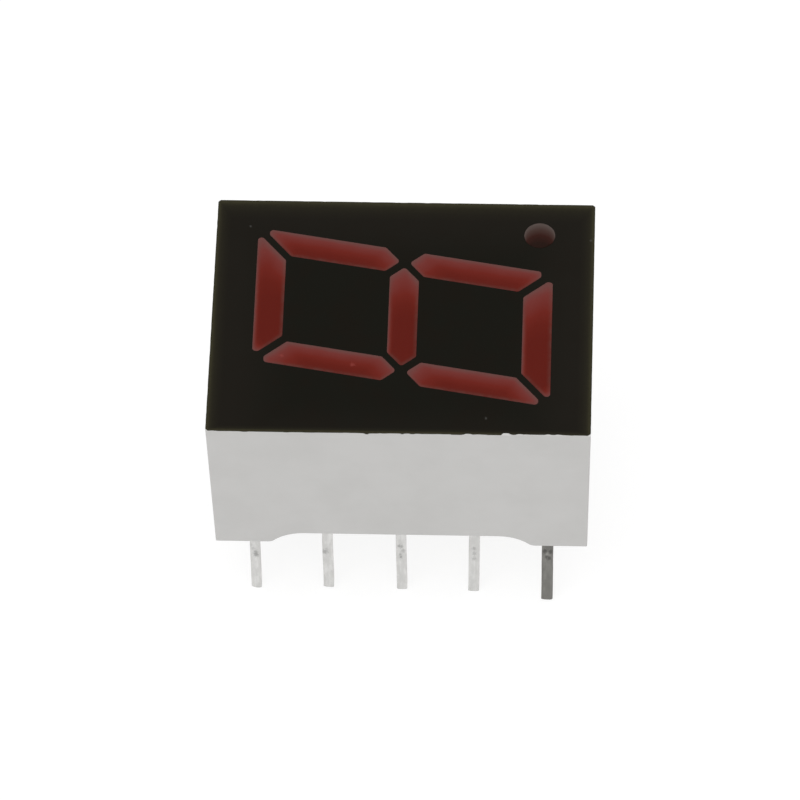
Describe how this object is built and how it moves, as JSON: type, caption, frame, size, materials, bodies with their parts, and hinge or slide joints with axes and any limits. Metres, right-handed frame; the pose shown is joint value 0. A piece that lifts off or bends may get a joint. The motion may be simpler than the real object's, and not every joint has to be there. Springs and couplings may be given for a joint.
{
  "type": "seven segment display",
  "caption": "Single-digit LED display: white potted reflector case, black printed face, red slanted digit with a decimal point, and two rows of flat solder leads.",
  "frame": {"origin": "centre of the ten leads on the seating plane, which is the underside of the case's feet", "axes": "+Z from the seating plane to the printed face, +Y to the top of the digit, +X to the right of the digit"},
  "size_m": [0.0098, 0.013, 0.0108],
  "materials": {
    "case_plastic": "white moulded plastic, fine matte",
    "face_ink": "black printed ink, satin",
    "tinted_resin": "red tinted diffusing resin, level with the ink",
    "potting_resin": "milky potting resin with a poured surface",
    "lead_metal": "tinned stamped sheet, satin",
    "lead_5_metal": "tinned stamped sheet, bent out of its row, so that it reads darker",
    "emitter_die": "semiconductor die with a metal pad",
    "gold_wire": "bright gold bond wire"
  },
  "bodies": {
    "root": {"reflector_case": "case_plastic", "black_face_coat": "face_ink", "back_potting": "potting_resin", "segment_a": "tinted_resin", "segment_b": "tinted_resin", "segment_c": "tinted_resin", "segment_d": "tinted_resin", "segment_e": "tinted_resin", "segment_f": "tinted_resin", "segment_g": "tinted_resin", "decimal_point": "tinted_resin", "common_lead": "lead_metal", "lead_1_g": "lead_metal", "lead_2_f": "lead_metal", "lead_4_e": "lead_metal", "lead_5_d": "lead_5_metal", "lead_6_dp": "lead_metal", "lead_7_c": "lead_metal", "lead_9_b": "lead_metal", "lead_10_a": "lead_metal", "led_chip_a": "emitter_die", "led_chip_b": "emitter_die", "led_chip_c": "emitter_die", "led_chip_d": "emitter_die", "led_chip_e": "emitter_die", "led_chip_f": "emitter_die", "led_chip_g": "emitter_die", "led_chip_dp": "emitter_die", "bond_wire_a": "gold_wire", "bond_wire_b": "gold_wire", "bond_wire_c": "gold_wire", "bond_wire_d": "gold_wire", "bond_wire_e": "gold_wire", "bond_wire_f": "gold_wire", "bond_wire_g": "gold_wire", "bond_wire_dp": "gold_wire"}
  },
  "joints": []
}
